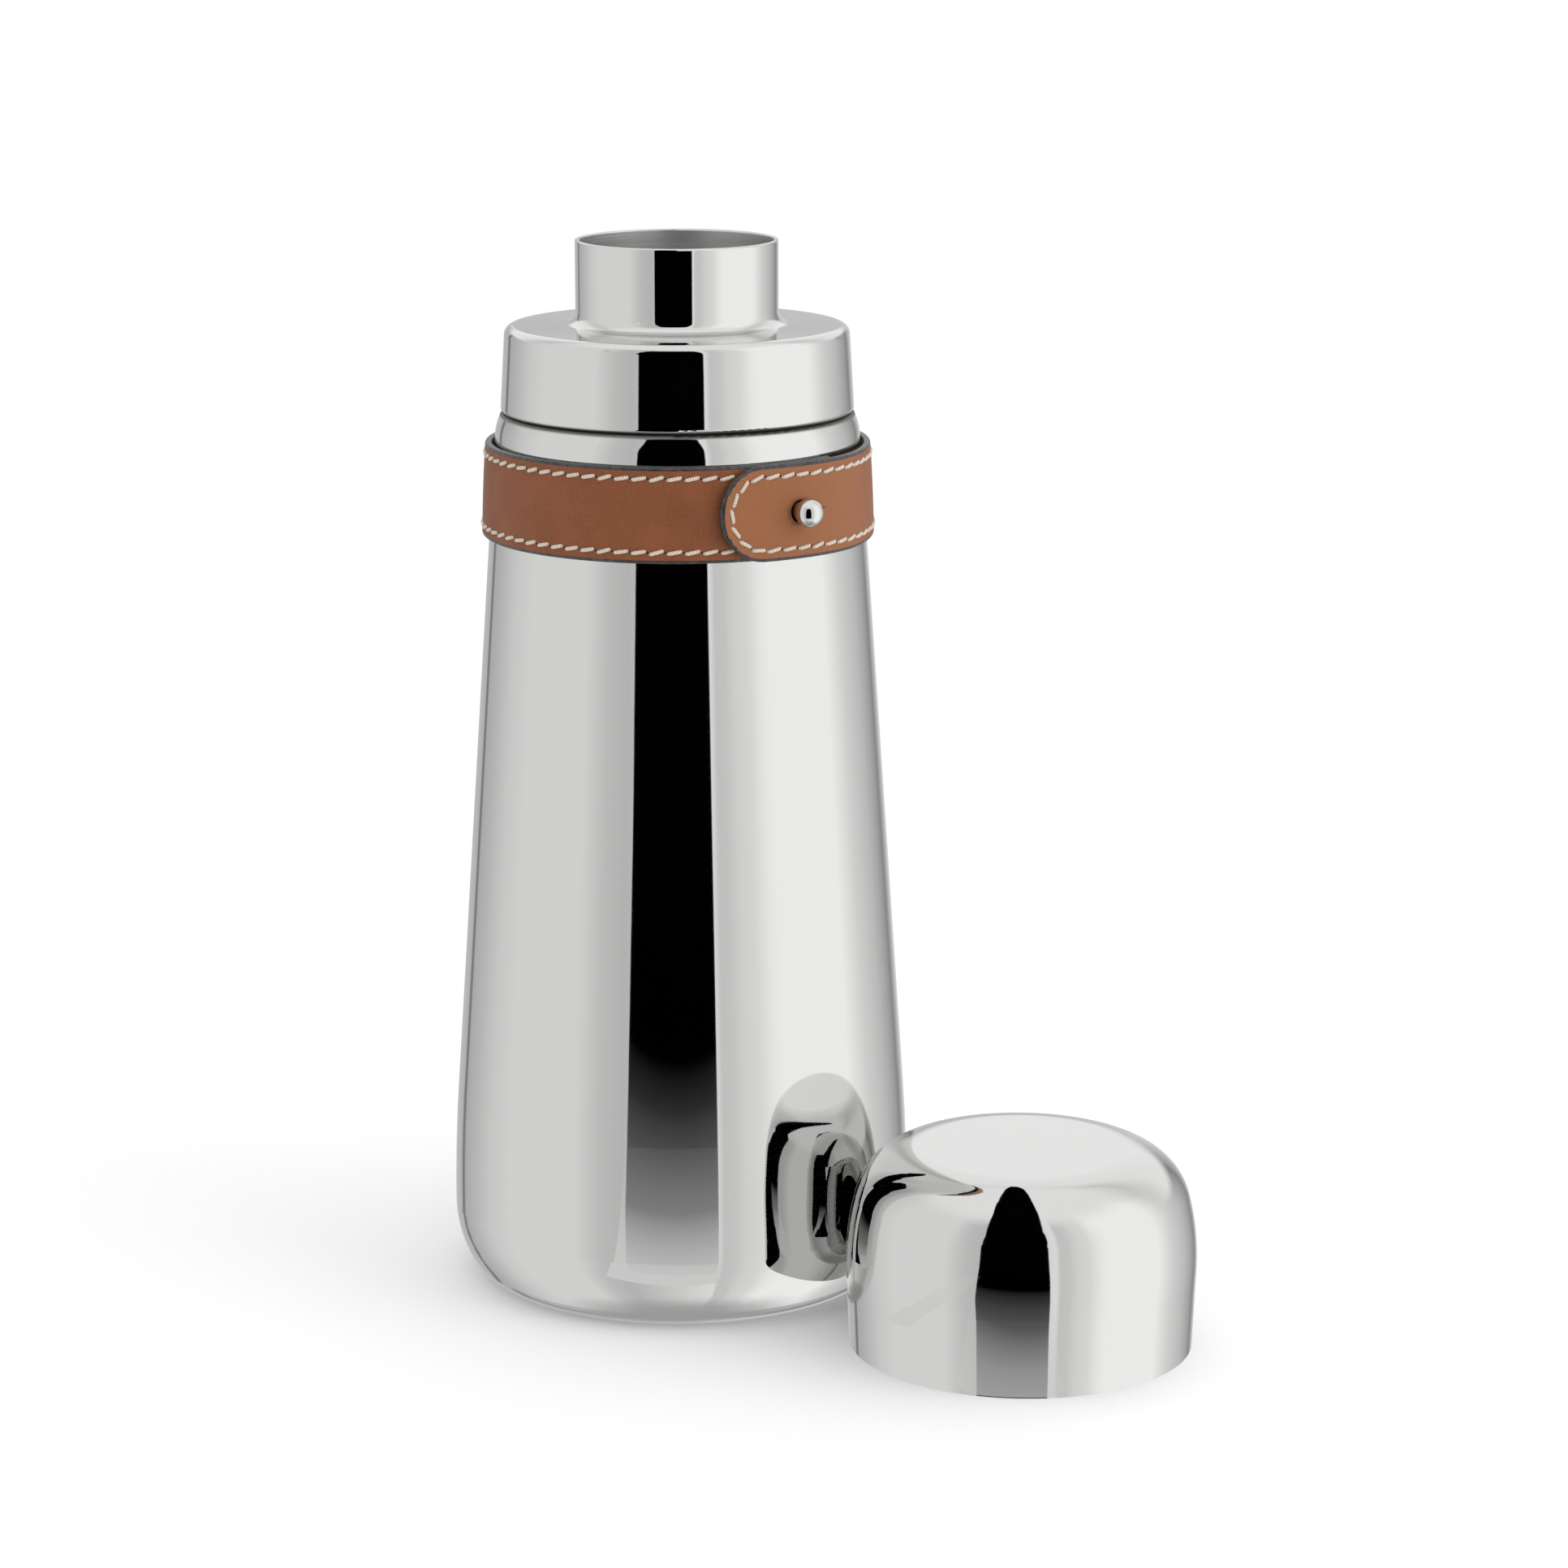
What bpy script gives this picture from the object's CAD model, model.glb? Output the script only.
import math

import bmesh
import bpy
from mathutils import Matrix, Vector


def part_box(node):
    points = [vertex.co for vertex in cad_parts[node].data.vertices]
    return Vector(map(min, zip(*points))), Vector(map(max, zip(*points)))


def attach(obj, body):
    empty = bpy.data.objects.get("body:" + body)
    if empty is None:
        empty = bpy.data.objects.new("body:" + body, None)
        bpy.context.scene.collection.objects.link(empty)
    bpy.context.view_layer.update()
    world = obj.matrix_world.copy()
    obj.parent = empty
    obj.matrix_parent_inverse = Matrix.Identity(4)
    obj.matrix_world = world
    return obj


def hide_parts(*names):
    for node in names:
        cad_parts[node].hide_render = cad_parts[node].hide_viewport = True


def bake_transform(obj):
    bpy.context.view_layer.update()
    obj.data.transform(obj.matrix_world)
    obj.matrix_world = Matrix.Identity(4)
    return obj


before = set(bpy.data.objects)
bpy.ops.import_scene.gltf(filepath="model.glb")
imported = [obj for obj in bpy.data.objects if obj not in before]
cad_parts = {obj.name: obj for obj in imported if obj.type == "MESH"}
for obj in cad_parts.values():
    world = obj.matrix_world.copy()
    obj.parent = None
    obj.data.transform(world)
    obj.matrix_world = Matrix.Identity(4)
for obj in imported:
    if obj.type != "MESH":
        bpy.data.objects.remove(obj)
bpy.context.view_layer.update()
MM = 0.001

# ---------------------------------------------------------------- camera
# A long lens a little above the strap, looking down on the shaker and the cap in front of it.

LOOK_DOWN = 12.871  # degrees below level

camera_data = bpy.data.cameras.new("camera")
camera_data.lens = 101.73
camera_data.sensor_width = 36
camera_data.clip_start = 0.05
camera_data.clip_end = 20
camera = bpy.data.objects.new("camera", camera_data)
camera.location = (0.02276, -0.94118, 0.32414)
camera.rotation_euler = (math.radians(90 - LOOK_DOWN), 0, 0)
bpy.context.scene.collection.objects.link(camera)
bpy.context.scene.camera = camera
bpy.context.scene.view_settings.view_transform = "Standard"

# ---------------------------------------------------------------- studio
# A white table between two large soft panels, the right one brighter. The gap between the panels is
# black, and a black flag hangs low over the cap; steel shows both of them as its dark stripes.


def linear(code):
    """A linear RGBA colour from an sRGB hex code."""
    shares = [int(code[i:i + 2], 16) / 255 for i in (1, 3, 5)]
    return tuple(c / 12.92 if c <= 0.04045 else ((c + 0.055) / 1.055) ** 2.4 for c in shares) + (1,)


def add(tree, kind, inputs=None, stops=(), **settings):
    """A node with its settings; inputs maps a socket to a value or to the output that feeds it.

    The stops of a colour ramp are (position, linear colour) pairs."""
    made = tree.nodes.new(kind)
    for name, setting in settings.items():
        setattr(made, name, setting)
    for socket, source in (inputs or {}).items():
        if isinstance(source, bpy.types.NodeSocket):
            tree.links.new(source, made.inputs[socket])
        else:
            made.inputs[socket].default_value = source
    for _ in stops[2:]:
        made.color_ramp.elements.new(0.5)
    for number, (position, colour) in enumerate(stops):
        made.color_ramp.elements[number].position = position
        made.color_ramp.elements[number].color = colour
    return made


STUDIO_LIGHT = 1.37
# The panels all round: (degrees from the front towards +X, tone).
PANELS = [
    (-180, "#B4B4B4"), (-166, "#AEAEAE"), (-150, "#B0B0B0"), (-148, "#7A7A7A"), (-145, "#767676"),
    (-143, "#ABABAB"), (-128, "#BDBDBD"), (-112, "#D2D2D2"), (-95, "#DDDDDD"), (-54, "#DDDDDD"),
    (-40, "#C6C6C6"),
    (-28, "#BEBEBE"), (20, "#E6E6E6"), (22, "#CCCCCC"), (28, "#CFCFCF"), (34, "#DCDCDC"),
    (42, "#E2E2E2"), (50, "#F4F4F4"), (56, "#FAFAFA"), (97, "#FAFAFA"), (113, "#DADADA"),
    (130, "#C2C2C2"), (146, "#9E9E9E"), (153, "#848484"), (158, "#A0A0A0"), (170, "#C4C4C4"),
    (180, "#B4B4B4"),
]
# Where each other part of the room sets in and is full, along one axis of the direction looked in.
FADES = {
    "overhead": ("Z", 0.62, 0.90),
    "below": ("Z", -0.80, -0.97),
    "behind": ("Y", 0.3, 0.7),
    "raised": ("Z", 0.14, 0.30),
}

world = bpy.data.worlds.new("studio")
bpy.context.scene.world = world
world.use_nodes = True
sky = world.node_tree
sky.nodes.clear()
direction = add(sky, "ShaderNodeTexCoord").outputs["Generated"]
part = add(sky, "ShaderNodeSeparateXYZ", {"Vector": direction})
front = add(sky, "ShaderNodeMath", {0: part.outputs["Y"], 1: -1.0}, operation="MULTIPLY").outputs[0]
turn = add(sky, "ShaderNodeMath", {0: part.outputs["X"], 1: front}, operation="ARCTAN2").outputs[0]
share = add(sky, "ShaderNodeMapRange", {"Value": turn, "From Min": -math.pi, "From Max": math.pi})
panels = add(sky, "ShaderNodeValToRGB", {"Fac": share.outputs["Result"]},
             [(0.5 + azimuth / 360, linear(code)) for azimuth, code in PANELS]).outputs["Color"]
fade = {}
for place, (axis, sets_in, full) in FADES.items():
    fade[place] = add(sky, "ShaderNodeMapRange",
                      {"Value": part.outputs[axis], "From Min": sets_in, "From Max": full},
                      interpolation_type="SMOOTHSTEP").outputs["Result"]
back = add(sky, "ShaderNodeMath", {0: fade["behind"], 1: fade["raised"]}, operation="MULTIPLY").outputs[0]
bright = add(sky, "ShaderNodeMath", {0: fade["overhead"], 1: back}, operation="MAXIMUM").outputs[0]
tent = add(sky, "ShaderNodeMix", {0: bright, 6: panels, 7: linear("#EAEAEA")}, data_type="RGBA")
tent = add(sky, "ShaderNodeMix", {0: fade["below"], 6: tent.outputs[2], 7: linear("#A4A4A4")},
           data_type="RGBA")
seen = add(sky, "ShaderNodeLightPath").outputs["Is Camera Ray"]
soft_light = add(sky, "ShaderNodeBackground", {"Color": tent.outputs[2], "Strength": STUDIO_LIGHT})
white = add(sky, "ShaderNodeBackground", {"Color": (1, 1, 1, 1), "Strength": 1.0})
shown = add(sky, "ShaderNodeMixShader", {0: seen, 1: soft_light.outputs[0], 2: white.outputs[0]})
add(sky, "ShaderNodeOutputWorld", {"Surface": shown.outputs[0]})


def material(name):
    """A new material and its emptied node tree."""
    made = bpy.data.materials.new(name)
    made.use_nodes = True
    made.node_tree.nodes.clear()
    return made, made.node_tree


def stage_card(name, corners, surface, glossy_only=True):
    """A flat card of the studio; unless told otherwise only reflections show it."""
    bm = bmesh.new()
    bm.faces.new([bm.verts.new(c) for c in corners])
    mesh = bpy.data.meshes.new(name)
    bm.to_mesh(mesh)
    bm.free()
    mesh.materials.append(surface)
    card = bpy.data.objects.new(name, mesh)
    bpy.context.scene.collection.objects.link(card)
    if glossy_only:
        card.visible_camera = False
        card.visible_diffuse = False
        card.visible_shadow = False
    return card


TABLE_GLOW = 0.03
TABLE_HALF = 1.5

table_white, tree = material("white_table")
seen = add(tree, "ShaderNodeLightPath").outputs["Is Camera Ray"]
paper = add(tree, "ShaderNodeBsdfDiffuse", {"Color": linear("#FAFAFA")})
lit = add(tree, "ShaderNodeMath", {0: seen, 1: TABLE_GLOW}, operation="MULTIPLY").outputs[0]
glow = add(tree, "ShaderNodeEmission", {"Color": (1, 1, 1, 1), "Strength": lit})
both = add(tree, "ShaderNodeAddShader", {0: paper.outputs[0], 1: glow.outputs[0]})
add(tree, "ShaderNodeOutputMaterial", {"Surface": both.outputs[0]})
corners = [(x * TABLE_HALF, y * TABLE_HALF, 0) for x, y in ((-1, -1), (1, -1), (1, 1), (-1, 1))]
table = stage_card("table", corners, table_white, glossy_only=False)
table.visible_glossy = False

black_gap, tree = material("black_gap")
dark = add(tree, "ShaderNodeBsdfDiffuse", {"Color": (0, 0, 0, 1)})
add(tree, "ShaderNodeOutputMaterial", {"Surface": dark.outputs[0]})
GAP_Y = -0.80
# The gap's outline from its foot up: (left, right, height).
GAP = [
    (-0.388, 0.276, -0.42), (-0.392, 0.278, -0.20), (-0.366, 0.275, -0.05), (-0.350, 0.269, 0.03),
    (-0.346, 0.263, 0.14), (-0.341, 0.256, 0.35), (-0.336, 0.252, 0.47), (-0.320, 0.238, 0.60),
    (-0.290, 0.210, 0.74), (-0.262, 0.186, 0.82), (-0.240, 0.166, 0.853), (-0.214, 0.140, 0.86),
]
outline = [(right, GAP_Y, z) for _, right, z in GAP] + [(left, GAP_Y, z) for left, _, z in reversed(GAP)]
stage_card("panel_gap", outline, black_gap)


OWN_RAY = 0.009  # how far a ray may be from the length that marks it as the piece's own


def lit_table(name, corners, before, code, stops):
    """The lit table before one steel piece, thinning out away from it; stops are (metres forward, cover).

    Each piece shows only its own: a ray must be about as long as the way from before, the piece's front."""
    surface, tree = material(name)
    place = add(tree, "ShaderNodeTexCoord").outputs["Object"]
    y = add(tree, "ShaderNodeSeparateXYZ", {"Vector": place}).outputs["Y"]
    reach = stops[-1][0]
    share = add(tree, "ShaderNodeMapRange",
                {"Value": y, "From Min": before[1], "From Max": before[1] - reach})
    cover = add(tree, "ShaderNodeValToRGB", {"Fac": share.outputs["Result"]},
                [(forward / reach, (amount, amount, amount, 1)) for forward, amount in stops])
    way = add(tree, "ShaderNodeVectorMath", {0: place, 1: before}, operation="DISTANCE").outputs["Value"]
    ray = add(tree, "ShaderNodeLightPath").outputs["Ray Length"]
    own = add(tree, "ShaderNodeMath", {0: ray, 1: way, 2: OWN_RAY}, operation="COMPARE").outputs[0]
    amount = add(tree, "ShaderNodeMath",
                 {0: cover.outputs["Color"], 1: own}, operation="MULTIPLY").outputs[0]
    clear = add(tree, "ShaderNodeBsdfTransparent")
    glow = add(tree, "ShaderNodeEmission", {"Color": linear(code), "Strength": STUDIO_LIGHT})
    mixed = add(tree, "ShaderNodeMixShader", {0: amount, 1: clear.outputs[0], 2: glow.outputs[0]})
    add(tree, "ShaderNodeOutputMaterial", {"Surface": mixed.outputs[0]})
    return stage_card(name, corners, surface)


lit_table("table_before_body",
          [(-0.0275, -0.062, 0.0001), (0.0140, -0.062, 0.0001),
           (0.182, -0.53, 0.0001), (-0.241, -0.53, 0.0001)],
          (0, -0.048, 0), "#D6D6D6",
          [(0, 1), (0.03, 0.93), (0.05, 0.80), (0.105, 0.34), (0.23, 0.13), (0.312, 0.04), (0.40, 0.0)])
lit_table("table_before_cap",
          [(0.062, -0.074, 0.0002), (0.078, -0.074, 0.0002),
           (0.123, -0.24, 0.0002), (-0.0405, -0.24, 0.0002)],
          (0.069, -0.0865, 0), "#D2D2D2",
          [(0, 0.60), (0.012, 0.50), (0.022, 0.34), (0.033, 0.16), (0.047, 0.105), (0.076, 0.057),
           (0.14, 0.0)])

# The flag is clear from above, so that only its underside shows.
flag_cloth, tree = material("flag_over_cap")
above = add(tree, "ShaderNodeNewGeometry").outputs["Backfacing"]
clear = add(tree, "ShaderNodeBsdfTransparent")
dark = add(tree, "ShaderNodeBsdfDiffuse", {"Color": (0, 0, 0, 1)})
mixed = add(tree, "ShaderNodeMixShader", {0: above, 1: dark.outputs[0], 2: clear.outputs[0]})
add(tree, "ShaderNodeOutputMaterial", {"Surface": mixed.outputs[0]})
FLAG_Z = 0.11
# The flag's outline from its front edge back: (left, right, y).
FLAG = [
    (-0.0170, 0.1080, -0.229), (0.0268, 0.0902, -0.143), (0.0440, 0.0836, -0.108),
    (0.0562, 0.0775, -0.076), (0.0625, 0.0755, -0.051), (0.0660, 0.0745, -0.034),
    (0.0695, 0.0725, -0.022),
]
outline = [(left, y, FLAG_Z) for left, _, y in FLAG]
outline += [(right, y, FLAG_Z) for _, right, y in reversed(FLAG)]
stage_card("flag_over_cap", outline, flag_cloth)

# A soft lamp on the right warms the leather's side; it is too weak to draw a shadow on the table.
LAMP_AIM = Vector((0, 0, 0.17))
lamp_data = bpy.data.lights.new("right_lamp", "AREA")
lamp_data.shape = "DISK"
lamp_data.size = 0.9
lamp_data.energy = 2.0
lamp = bpy.data.objects.new("right_lamp", lamp_data)
lamp.location = (0.85, -0.45, 0.55)
lamp.rotation_euler = (LAMP_AIM - lamp.location).to_track_quat("-Z", "Y").to_euler()
lamp.visible_glossy = False
bpy.context.scene.collection.objects.link(lamp)

# ---------------------------------------------------------------- body
# Drawn stainless steel sheet, buffed to a mirror, with a disc welded into the foot and a collar
# inside the lip. Buffing leaves a faint waviness in the reflections and the finest hairlines round it.


SWELL = 30 * MM
HAIRLINES = (20, 20, 4000)  # hairlines a metre along each axis: they run level round the piece
BRUSHED_ROUGHNESS = (0.20, 0.58)
SEAM_CORE = 0.35 * MM
SEAM_REACH = 1.0 * MM
SEAM_TONE = "#6E6C69"
SEAM_ROUGHNESS = 0.55


def steel(name, code, roughness, hairline, wave, seams=(), brushed_within=0.0):
    """Stainless steel with hairlines and waves of that height in mm.

    Polish residue dulls each seam height; within a radius the sheet is only brushed."""
    made, tree = material(name)
    place = add(tree, "ShaderNodeTexCoord").outputs["Object"]
    part = add(tree, "ShaderNodeSeparateXYZ", {"Vector": place})
    swell = add(tree, "ShaderNodeTexNoise", {"Vector": place, "Scale": 1 / SWELL, "Detail": 1.0})
    rings = add(tree, "ShaderNodeMapping", {"Vector": place, "Scale": HAIRLINES})
    lines = add(tree, "ShaderNodeTexNoise", {"Vector": rings.outputs[0], "Scale": 1.0, "Detail": 2.0})
    low, high = roughness * 0.6, roughness * 1.4
    if brushed_within:
        flat = add(tree, "ShaderNodeVectorMath", {0: place, 1: (1, 1, 0)}, operation="MULTIPLY").outputs[0]
        reach = add(tree, "ShaderNodeVectorMath", {0: flat}, operation="LENGTH").outputs["Value"]
        inner = add(tree, "ShaderNodeMath", {0: reach, 1: brushed_within}, operation="LESS_THAN").outputs[0]
        low, high = [
            add(tree, "ShaderNodeMapRange",
                {"Value": inner, "To Min": mirror, "To Max": brushed}).outputs["Result"]
            for mirror, brushed in zip((low, high), BRUSHED_ROUGHNESS)]
    rough = add(tree, "ShaderNodeMapRange", {"Value": lines.outputs["Fac"], "To Min": low, "To Max": high})
    tone = linear(code)
    for seam in seams:
        away = add(tree, "ShaderNodeMath", {0: part.outputs["Z"], 1: seam}, operation="SUBTRACT").outputs[0]
        away = add(tree, "ShaderNodeMath", {0: away}, operation="ABSOLUTE").outputs[0]
        near = add(tree, "ShaderNodeMapRange",
                   {"Value": away, "From Min": SEAM_CORE, "From Max": SEAM_REACH, "To Min": 1.0,
                    "To Max": 0.0},
                   interpolation_type="SMOOTHSTEP").outputs["Result"]
        tone = add(tree, "ShaderNodeMix", {0: near, 6: tone, 7: linear(SEAM_TONE)},
                   data_type="RGBA").outputs[2]
        rough = add(tree, "ShaderNodeMapRange",
                    {"Value": near, "To Min": rough.outputs["Result"], "To Max": SEAM_ROUGHNESS})
    bump = add(tree, "ShaderNodeBump",
               {"Height": swell.outputs["Fac"], "Strength": 1.0, "Distance": wave * MM})
    bump = add(tree, "ShaderNodeBump",
               {"Height": lines.outputs["Fac"], "Strength": 1.0, "Distance": hairline * MM,
                "Normal": bump.outputs[0]})
    shader = add(tree, "ShaderNodeBsdfPrincipled", {
        "Base Color": tone, "Metallic": 1.0, "Roughness": rough.outputs["Result"], "Normal": bump.outputs[0]})
    add(tree, "ShaderNodeOutputMaterial", {"Surface": shader.outputs[0]})
    return made


def dress(node, surface):
    """A CAD node keeps its shape and takes a finished material."""
    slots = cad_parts[node].data.materials
    slots.clear()
    slots.append(surface)


JOINT_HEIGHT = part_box("body_shell")[1].z
POLISHED = "#CFCFCE"
POLISHED_ROUGHNESS = 0.035
NECK_BRUSHED_WITHIN = 21.2 * MM
mirror_steel = steel("mirror_buffed_steel", POLISHED, POLISHED_ROUGHNESS, 0.0, 0.004)
jointed_steel = steel("mirror_steel_at_the_joint", POLISHED, POLISHED_ROUGHNESS, 0.0, 0.004,
                      seams=[JOINT_HEIGHT])
neck_steel = steel("mirror_steel_brushed_inside", POLISHED, POLISHED_ROUGHNESS, 0.0, 0.0,
                   brushed_within=NECK_BRUSHED_WITHIN)
brushed_steel = steel("brushed_steel", "#BDBBB8", 0.30, 0.01, 0.0)
for surface, nodes in (
        (jointed_steel, ("body_shell", "strainer_shell")),
        (neck_steel, ("strainer_neck",)),
        (mirror_steel, ("cap_shell", "stud")),
        (brushed_steel, ("base_disc", "mouth_collar", "strainer_plug", "strainer_plate", "cap_cup",
                         "stud_screw")),
):
    for node in nodes:
        dress(node, surface)

# ---------------------------------------------------------------- strap
# Two plies of leather, glued back to back, their edges dyed and burnished together.
# The strap hugs the body, swings out at the right and ends in the tab, which buttons over the stud.

# Azimuths in degrees from the front towards +X: the strap swings out between SIDE and FAR.
SIDE = 48.0
FAR = 95.0
MIDDLE = (SIDE + FAR) / 2
FREE_END = 12.3
INNER_END = 412.0
PLY = 0.75 * MM
HALF = (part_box("strap_leather")[1].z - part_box("strap_leather")[0].z) / 2
MID_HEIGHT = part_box("strap_leather")[0].z + HALF
SLOPE = math.tan(math.radians(2.6))
HUG = 40.55 * MM - HALF * SLOPE
LIFT = 1.9 * MM
SWING = LIFT / (2 * (1 - math.cos(math.radians(FAR - SIDE) / 2)))
EDGE_ROUND = 0.6 * MM
SEAM_INSET = 2.4 * MM
STITCH_PITCH = 3.6 * MM
TAB_LENGTH = HALF + 16 * STITCH_PITCH
SHEET_SPAN = 300 * MM
TAB_CURL = 1.3 * MM
CURL_LENGTH = 9 * MM
STUD_AZIMUTH = 36.8
STUD_HOLE = 2.45 * MM
SLIT_CUT = 7.3 * MM
SLIT_OPEN = 6.6 * MM
SLIT_HALF_WIDTH = 0.07 * MM
TINY = 0.01 * MM


def heading(azimuth):
    """The outward direction at an azimuth counted in degrees from the front, -Y, towards +X."""
    return Vector((math.sin(math.radians(azimuth)), -math.cos(math.radians(azimuth)), 0))


# The strap's bends: (centre, reach, first azimuth, last azimuth).
RUN = [
    (Vector((0, 0, 0)), HUG + LIFT, FREE_END, SIDE),
    (heading(SIDE) * SWING, HUG + LIFT - SWING, SIDE, MIDDLE),
    (heading(FAR) * -SWING, HUG + SWING, MIDDLE, FAR),
    (Vector((0, 0, 0)), HUG, FAR, INNER_END),
]


def wrapped(flat):
    """Where a point of the flat leather lies on the shaker: x from the free end, y up, z outwards."""
    lifted = max(0, 1 - flat.x / CURL_LENGTH)
    left = flat.x + flat.z * 2 * TAB_CURL / CURL_LENGTH * lifted
    for centre, reach, first, last in RUN:
        length = math.radians(last - first) * reach
        if left <= length or last == INNER_END:
            break
        left -= length
    curl = TAB_CURL * lifted ** 2
    out = heading(first + math.degrees(left / reach))
    return centre + out * (reach + flat.z + curl - flat.y * SLOPE) + Vector((0, 0, MID_HEIGHT + flat.y))


RUN_LENGTH = sum(math.radians(last - first) * reach for _, reach, first, last in RUN)
STUD_X = math.radians(STUD_AZIMUTH - FREE_END) * (HUG + LIFT)


def edge_distance(flat):
    """How far inside the cut edge a point of the flat leather lies."""
    if flat.x < HALF:
        return HALF - math.hypot(flat.x - HALF, flat.y)
    return HALF - abs(flat.y)


def relief(flat):
    """Height of the grain side over its flat: sunk under the thread, swollen round the stud."""
    edge = edge_distance(flat)
    pull = 0.75 + 0.25 * math.cos(2 * math.pi * (flat.x - HALF) / STITCH_PITCH)
    sunk = -0.20 * pull * math.exp(-((edge - SEAM_INSET) / (0.6 * MM)) ** 2)
    crown = 0.12 * (1 - (flat.y / HALF) ** 2)
    reach = math.hypot(flat.x - STUD_X, flat.y) / MM
    swollen = 0.32 * math.exp(-((reach - 2.6) / 1.5) ** 2)
    bearing = math.atan2(flat.y, flat.x - STUD_X)
    creased = 0.09 * math.cos(4.2 * reach + 1.3 * math.sin(3 * bearing))
    creased *= math.exp(-((reach - 5.2) / 1.8) ** 2)
    return (sunk + crown + swollen + creased) * MM


def rounding(edge):
    """How much the worn edge falls away at that distance inside it."""
    drop = max(0, EDGE_ROUND - max(edge, 0))
    return EDGE_ROUND - math.sqrt(EDGE_ROUND ** 2 - drop ** 2)


def flat_hide(start, end, pierced):
    """Flat leather along the run, cut fine at its edges; a free end at zero is cut to a half round.

    Pierced leather has the stud's hole and the slit that lets the ball through."""
    bm = bmesh.new()
    columns = round((end - start) / (0.8 * MM))
    bmesh.ops.create_grid(bm, x_segments=columns, y_segments=40, size=1)
    for v in bm.verts:
        along = start + (end - start) * (v.co.x + 1) / 2
        across = math.sin(v.co.y * math.pi / 2)
        if start == 0 and along < HALF:
            back = math.sin((along / HALF - 1) * math.pi / 2)
            v.co.x = HALF * (1 + back * math.sqrt(1 - across ** 2 / 2))
            v.co.y = HALF * across * math.sqrt(1 - back ** 2 / 2)
        else:
            v.co.x = along
            v.co.y = HALF * across
        v.co.z = 0
    if pierced:
        stud = Vector((STUD_X, 0, 0))
        inside = [f for f in bm.faces if (f.calc_center_median() - stud).length < STUD_HOLE]
        bmesh.ops.delete(bm, geom=inside, context="FACES")
        for v in bm.verts:
            away = v.co - stud
            if v.is_boundary and away.length < 1.6 * STUD_HOLE:
                v.co = stud + away * STUD_HOLE / away.length
        slit = [e for e in bm.edges if all(
            abs(v.co.y) < TINY and STUD_X + 0.9 * STUD_HOLE < v.co.x < STUD_X + SLIT_CUT for v in e.verts)]
        bmesh.ops.split_edges(bm, edges=slit)
        for v in bm.verts:
            if v.is_boundary and abs(v.co.y) < TINY and 0.9 * STUD_HOLE < v.co.x - STUD_X < SLIT_OPEN:
                lean = sum(f.calc_center_median().y for f in v.link_faces)
                v.co.y += math.copysign(SLIT_HALF_WIDTH, lean)
    return bm


def leather_ply(name, start, end, outer, surfaces, pierced=False):
    """One ply bent round the shaker; the outer ply has the grain side and the rounded outer edge."""
    bm = flat_hide(start, end, pierced)
    low = PLY if outer else 0
    bmesh.ops.solidify(bm, geom=bm.faces[:], thickness=PLY)
    levels = sorted({round(v.co.z, 6) for v in bm.verts})
    uv = bm.loops.layers.uv.new("hide")
    for f in bm.faces:
        for corner in f.loops:
            corner[uv].uv = (corner.vert.co.x / SHEET_SPAN, (corner.vert.co.y + HALF) / SHEET_SPAN)
        centre = f.calc_center_median()
        # Where the tab goes on as the strap there is no edge: those end faces meet and don't round.
        f.smooth = abs(centre.x - TAB_LENGTH) > TINY
        wall = f.smooth and len({round(v.co.z, 6) for v in f.verts}) > 1
        shown_side = abs(centre.z - (levels[1] if outer else levels[0])) < PLY / 4
        dyed = wall or (shown_side and edge_distance(centre) < 1.05 * EDGE_ROUND)
        f.material_index = 1 if dyed else 0
    for v in bm.verts:
        top = abs(v.co.z - levels[1]) < PLY / 4
        edge = edge_distance(v.co)
        if outer:
            v.co.z = low + PLY + relief(v.co) - rounding(edge) if top else low
        else:
            v.co.z = PLY if top else rounding(edge)
    for v in bm.verts:
        v.co = wrapped(v.co)
    bmesh.ops.recalc_face_normals(bm, faces=bm.faces[:])
    mesh = bpy.data.meshes.new(name)
    bm.to_mesh(mesh)
    bm.free()
    for surface in surfaces:
        mesh.materials.append(surface)
    piece = bpy.data.objects.new(name, mesh)
    bpy.context.scene.collection.objects.link(piece)
    return piece


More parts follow.
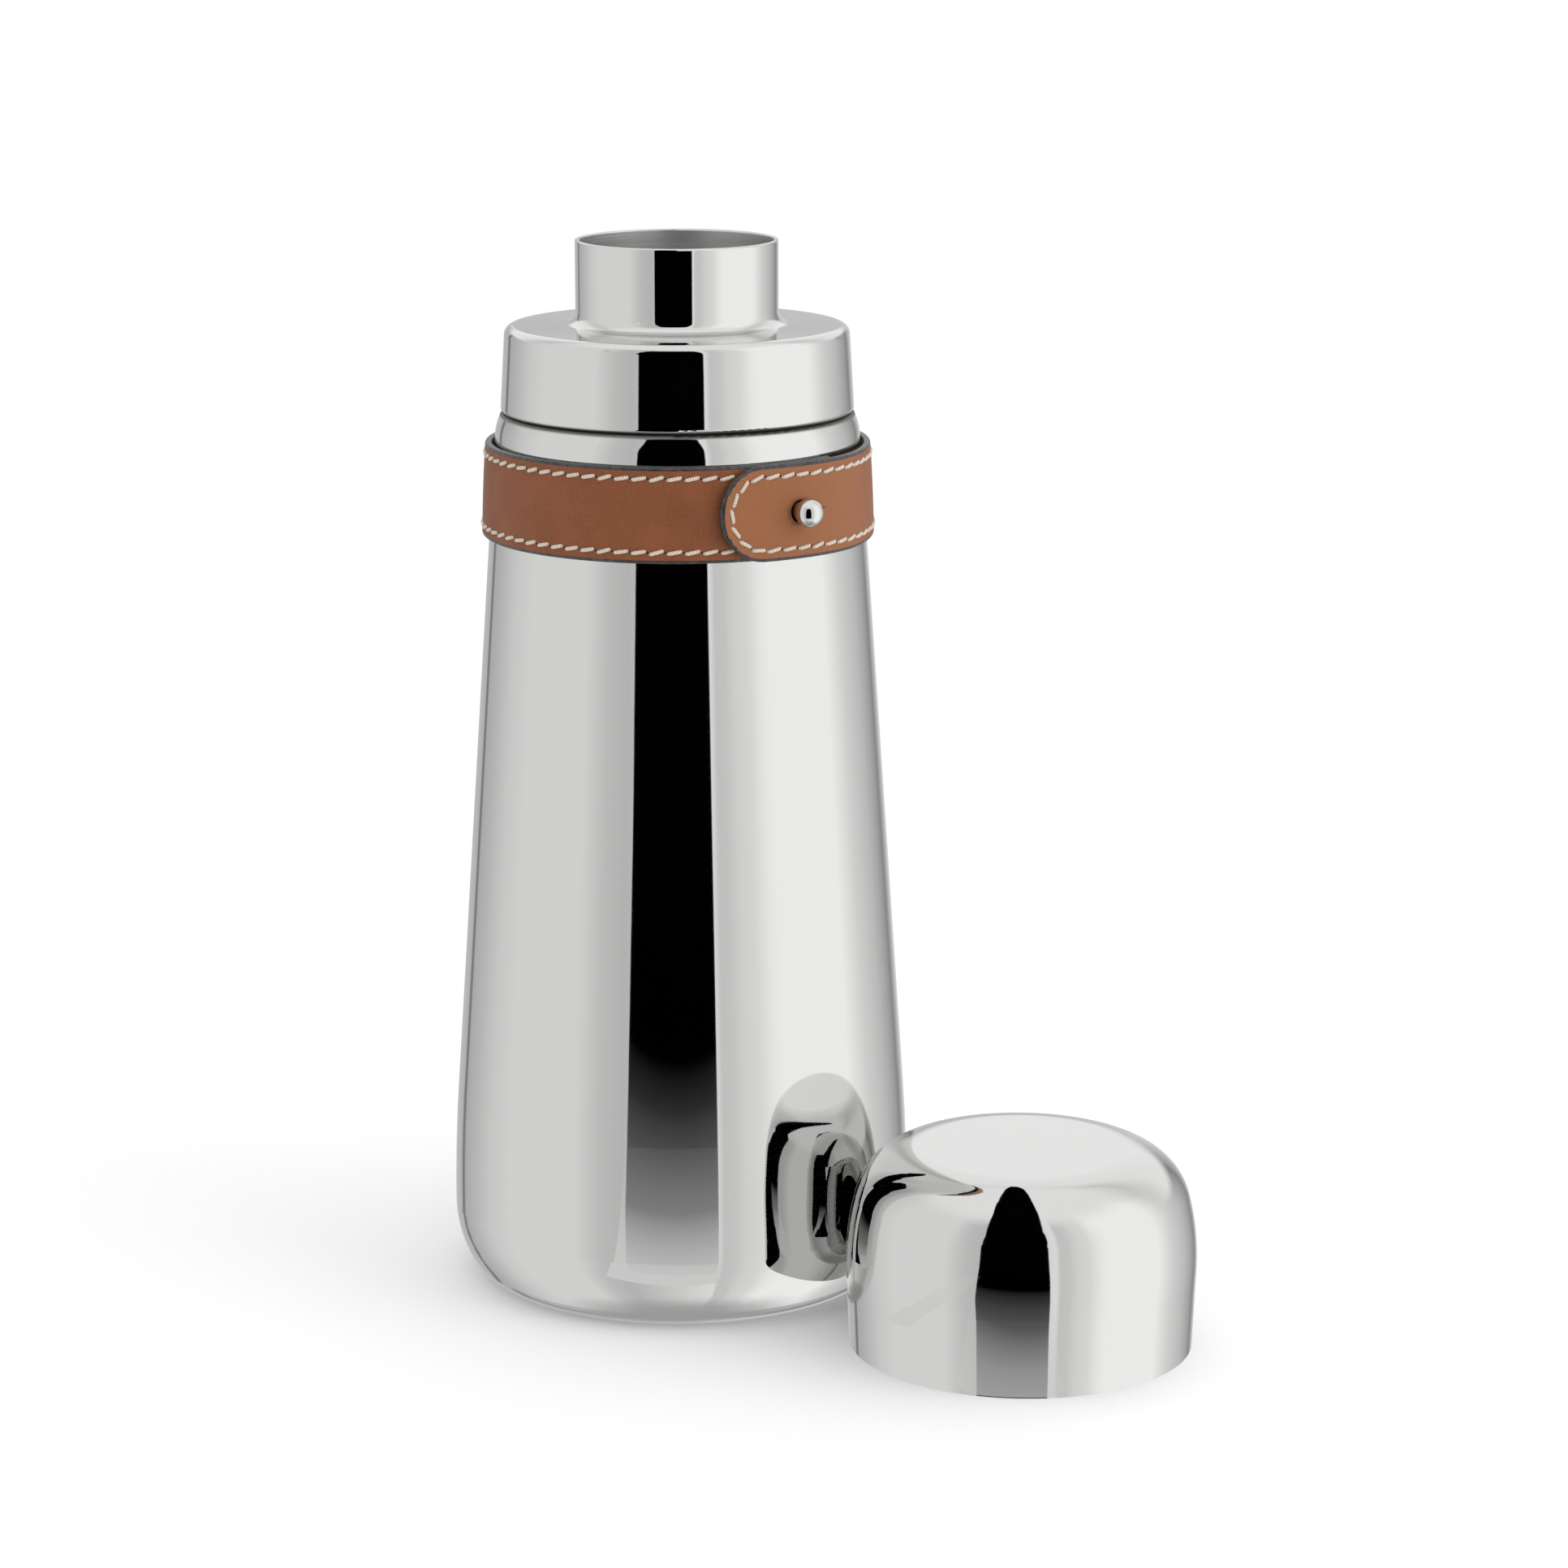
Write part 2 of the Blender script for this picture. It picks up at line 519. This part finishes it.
def hide_leather(name, code, deep, worn, grain, roughness):
    """Leather with a fine pebbled grain of that height in mm, lighter where the tab is handled."""
    made, tree = material(name)
    flat = add(tree, "ShaderNodeUVMap", uv_map="hide").outputs["UV"]
    mm = add(tree, "ShaderNodeMapping", {"Vector": flat, "Scale": (SHEET_SPAN / MM,) * 3}).outputs[0]
    cloud = add(tree, "ShaderNodeTexNoise", {"Vector": mm, "Scale": 1 / 9.0, "Detail": 3.0})
    speck = add(tree, "ShaderNodeTexNoise", {"Vector": mm, "Scale": 1 / 0.5, "Detail": 2.0})
    blend = add(tree, "ShaderNodeMath", {0: cloud.outputs["Fac"], 1: speck.outputs["Fac"]}, operation="ADD")
    share = add(tree, "ShaderNodeMapRange", {"Value": blend.outputs[0], "From Min": 0.72, "From Max": 1.28})
    tone = add(tree, "ShaderNodeMix", {0: share.outputs["Result"], 6: linear(deep), 7: linear(code)},
               data_type="RGBA")
    along = add(tree, "ShaderNodeSeparateXYZ", {"Vector": mm}).outputs["X"]
    handled = add(tree, "ShaderNodeMapRange",
                  {"Value": along, "From Min": 30.0, "From Max": 62.0, "To Min": 0.9, "To Max": 0.0},
                  interpolation_type="SMOOTHSTEP").outputs["Result"]
    tone = add(tree, "ShaderNodeMix", {0: handled, 6: tone.outputs[2], 7: linear(worn)}, data_type="RGBA")
    pebble = add(tree, "ShaderNodeTexVoronoi", {"Vector": mm, "Scale": 1 / 0.55}, feature="SMOOTH_F1")
    crease = add(tree, "ShaderNodeTexNoise",
                 {"Vector": mm, "Scale": 1 / 1.6, "Detail": 4.0, "Distortion": 0.6})
    bump = add(tree, "ShaderNodeBump",
               {"Height": pebble.outputs["Distance"], "Distance": grain * MM}, invert=True)
    bump = add(tree, "ShaderNodeBump",
               {"Height": crease.outputs["Fac"], "Distance": 2.2 * grain * MM, "Normal": bump.outputs[0]})
    shader = add(tree, "ShaderNodeBsdfPrincipled", {
        "Base Color": tone.outputs[2], "Roughness": roughness, "Specular IOR Level": 0.22,
        "Normal": bump.outputs[0]})
    add(tree, "ShaderNodeOutputMaterial", {"Surface": shader.outputs[0]})
    return made


tan_cowhide = hide_leather("tan_cowhide_grain_side", "#875031", "#774428", "#935E3D", 0.06, 0.46)
lining_calf = hide_leather("lining_calf_flesh_side", "#94785F", "#80664F", "#94785F", 0.03, 0.7)

edge_dye, tree = material("burnished_edge_dye")
place = add(tree, "ShaderNodeTexCoord").outputs["Object"]
drag = add(tree, "ShaderNodeTexNoise", {"Vector": place, "Scale": 1 / (1.2 * MM), "Detail": 3.0})
tone = add(tree, "ShaderNodeValToRGB", {"Fac": drag.outputs["Fac"]},
           [(0.35, linear("#232224")), (0.65, linear("#423D3C"))]).outputs["Color"]
bump = add(tree, "ShaderNodeBump", {"Height": drag.outputs["Fac"], "Distance": 0.12 * MM})
shader = add(tree, "ShaderNodeBsdfPrincipled",
             {"Base Color": tone, "Roughness": 0.30, "Normal": bump.outputs[0]})
add(tree, "ShaderNodeOutputMaterial", {"Surface": shader.outputs[0]})

# The tab bends with the leather at the hinge: body side, then free side.
BEND_START = wrapped(Vector((50 * MM, 0, PLY)))
BEND_END = wrapped(Vector((31 * MM, 0, PLY)))


def on_strap(piece, slot, *nodes):
    """A piece that stays on the body, in place of those CAD nodes."""
    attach(piece, "shaker_body")
    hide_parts(*nodes)


def on_tab(piece, slot, *nodes):
    """A piece that bends open with the tab, in place of those CAD nodes."""
    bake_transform(piece)
    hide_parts(*nodes)


on_strap(leather_ply("strap_outer_ply", TAB_LENGTH, RUN_LENGTH, True, [tan_cowhide, edge_dye]),
         "tan_leather", "strap_leather")
on_strap(leather_ply("strap_lining_ply", TAB_LENGTH, RUN_LENGTH, False, [lining_calf, edge_dye]),
         "lining_leather", "strap_lining")
on_tab(leather_ply("tab_outer_ply", 0, TAB_LENGTH, True, [tan_cowhide, edge_dye], True),
       "tan_leather", "tab_leather")
on_tab(leather_ply("tab_lining_ply", 0, TAB_LENGTH, False, [lining_calf, edge_dye], True),
       "lining_leather", "tab_lining")

# ---------------------------------------------------------------- saddle stitching
# Waxed thread, taken to be linen, sewn by hand 3.6 mm apart, 2.4 mm in from the edge. Each stitch
# leans and dives into its awl hole, which shows as a small dark slit in the hide.

THREAD_RADIUS = 0.38 * MM
STITCH_LEAN = math.radians(13)
STITCH_SINK = 0.15 * MM
SLIT_LEAN = -math.radians(50)
SLIT_SINK = 0.17 * MM
SLIT_HALF_SIZE = (0.95 * MM, 0.27 * MM, 0.13 * MM)


def thread_stitch():
    """One stitch lying along x, bowed up in the middle, its ends under the hide."""
    bm = bmesh.new()
    half = STITCH_PITCH * 0.475
    rings = 8
    ring = bmesh.ops.create_circle(bm, segments=8, radius=1)["verts"]
    for v in ring:
        v.co = Vector((0, v.co.x, v.co.y))
    edges = list({e for v in ring for e in v.link_edges})
    levels = [ring]
    for _ in range(rings):
        made = bmesh.ops.extrude_edge_only(bm, edges=edges)["geom"]
        levels.append([g for g in made if isinstance(g, bmesh.types.BMVert)])
        edges = [g for g in made if isinstance(g, bmesh.types.BMEdge)]
    uv = bm.loops.layers.uv.new("hide")
    for number, level in enumerate(levels):
        share = number / rings * 2 - 1
        thick = THREAD_RADIUS * (1 - 0.35 * share ** 4)
        rise = (0.22 - 0.50 * share ** 6) * MM
        for v in level:
            v.co = Vector((share * half, v.co.y * thick * 1.08, v.co.z * thick * 0.92 + rise))
    for f in bm.faces:
        f.smooth = True
        turns = [math.atan2(c.vert.co.y, c.vert.co.z - 0.1 * MM) / (2 * math.pi) for c in f.loops]
        wraps = max(turns) - min(turns) > 0.5
        for corner, around in zip(f.loops, turns):
            corner[uv].uv = (corner.vert.co.x / half / 2 + 0.5, around + (1 if wraps and around < 0 else 0))
    bmesh.ops.contextual_create(bm, geom=levels[0])
    bmesh.ops.contextual_create(bm, geom=levels[-1])
    bmesh.ops.recalc_face_normals(bm, faces=bm.faces[:])
    mesh = bpy.data.meshes.new("stitch")
    bm.to_mesh(mesh)
    bm.free()
    return mesh


def awl_slit():
    """The dark mark that the awl leaves beside a stitch."""
    bm = bmesh.new()
    bmesh.ops.create_icosphere(bm, subdivisions=1, radius=1)
    bmesh.ops.scale(bm, verts=bm.verts[:], vec=SLIT_HALF_SIZE)
    mesh = bpy.data.meshes.new("slit")
    bm.to_mesh(mesh)
    bm.free()
    return mesh


def straight_row(start, end, y):
    """Points half a pitch in, along a row at a height y: (x, y, direction)."""
    count = round((end - start) / STITCH_PITCH)
    pitch = (end - start) / count
    return [(start + (i + 0.5) * pitch, y, 0.0) for i in range(count)]


def end_row():
    """Points half a pitch in, round the tab's half-round end."""
    reach = HALF - SEAM_INSET
    count = round(math.pi * reach / STITCH_PITCH)
    turns = [math.pi * (i + 0.5) / count for i in range(count)]
    return [(HALF - reach * math.sin(t), -reach * math.cos(t), math.pi - t) for t in turns]


def sewn(name, template, row, offset, lean, sink):
    """The template laid along a row in the flat and bent round with the hide."""
    bm = bmesh.new()
    for number, (x, y, direction) in enumerate(row):
        known = len(bm.verts)
        bm.from_mesh(template)
        bm.verts.ensure_lookup_table()
        wander = 0.05 * math.sin(number * 2.4) + 0.04 * math.sin(number * 1.7 + 1)
        turn = Matrix.Rotation(direction + lean + wander, 3, "Z")
        step = Matrix.Rotation(direction, 3, "Z") @ Vector((offset, 0, 0))
        for v in bm.verts[known:]:
            v.co = wrapped(turn @ v.co + step + Vector((x, y, 2 * PLY - sink)))
    bmesh.ops.recalc_face_normals(bm, faces=bm.faces[:])
    mesh = bpy.data.meshes.new(name)
    bm.to_mesh(mesh)
    bm.free()
    piece = bpy.data.objects.new(name, mesh)
    bpy.context.scene.collection.objects.link(piece)
    return piece


waxed_linen, tree = material("waxed_linen_thread")
flat = add(tree, "ShaderNodeUVMap", uv_map="hide").outputs["UV"]
laid = add(tree, "ShaderNodeMapping", {"Vector": flat, "Scale": (9.0, 1.0, 1.0)})
ply_twist = add(tree, "ShaderNodeTexWave", {"Vector": laid.outputs[0], "Scale": 0.5, "Distortion": 0.4},
                bands_direction="DIAGONAL")
tone = add(tree, "ShaderNodeValToRGB", {"Fac": ply_twist.outputs["Fac"]},
           [(0.0, linear("#A99A86")), (0.55, linear("#E6DCCF"))]).outputs["Color"]
bump = add(tree, "ShaderNodeBump", {"Height": ply_twist.outputs["Fac"], "Distance": 0.12 * MM})
shader = add(tree, "ShaderNodeBsdfPrincipled",
             {"Base Color": tone, "Roughness": 0.6, "Normal": bump.outputs[0]})
add(tree, "ShaderNodeOutputMaterial", {"Surface": shader.outputs[0]})

awl_mark, tree = material("awl_mark_in_hide")
shader = add(tree, "ShaderNodeBsdfPrincipled", {"Base Color": linear("#2A150C"), "Roughness": 0.8})
add(tree, "ShaderNodeOutputMaterial", {"Surface": shader.outputs[0]})

stitch_mesh = thread_stitch()
slit_mesh = awl_slit()
row_height = HALF - SEAM_INSET
SEAM_END = RUN_LENGTH - 2 * MM
upper_row = straight_row(TAB_LENGTH, SEAM_END, row_height)
lower_row = straight_row(TAB_LENGTH, SEAM_END, -row_height)
tab_row = straight_row(HALF, TAB_LENGTH, row_height)
tab_row += straight_row(HALF, TAB_LENGTH, -row_height)
tab_row += end_row()
for name, row, node in (("strap_upper_stitches", upper_row, "strap_upper_seam"),
                        ("strap_lower_stitches", lower_row, "strap_lower_seam")):
    piece = sewn(name, stitch_mesh, row, 0, STITCH_LEAN, STITCH_SINK)
    piece.data.materials.append(waxed_linen)
    on_strap(piece, "thread", node)
    marks = sewn(name + "_holes", slit_mesh, row, STITCH_PITCH / 2, SLIT_LEAN, SLIT_SINK)
    marks.data.materials.append(awl_mark)
    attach(marks, "shaker_body")
piece = sewn("tab_stitches", stitch_mesh, tab_row, 0, STITCH_LEAN * 0.8, STITCH_SINK)
piece.data.materials.append(waxed_linen)
on_tab(piece, "thread", "tab_seam")
marks = sewn("tab_stitch_holes", slit_mesh, tab_row, STITCH_PITCH / 2, SLIT_LEAN, SLIT_SINK)
marks.data.materials.append(awl_mark)
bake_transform(marks)
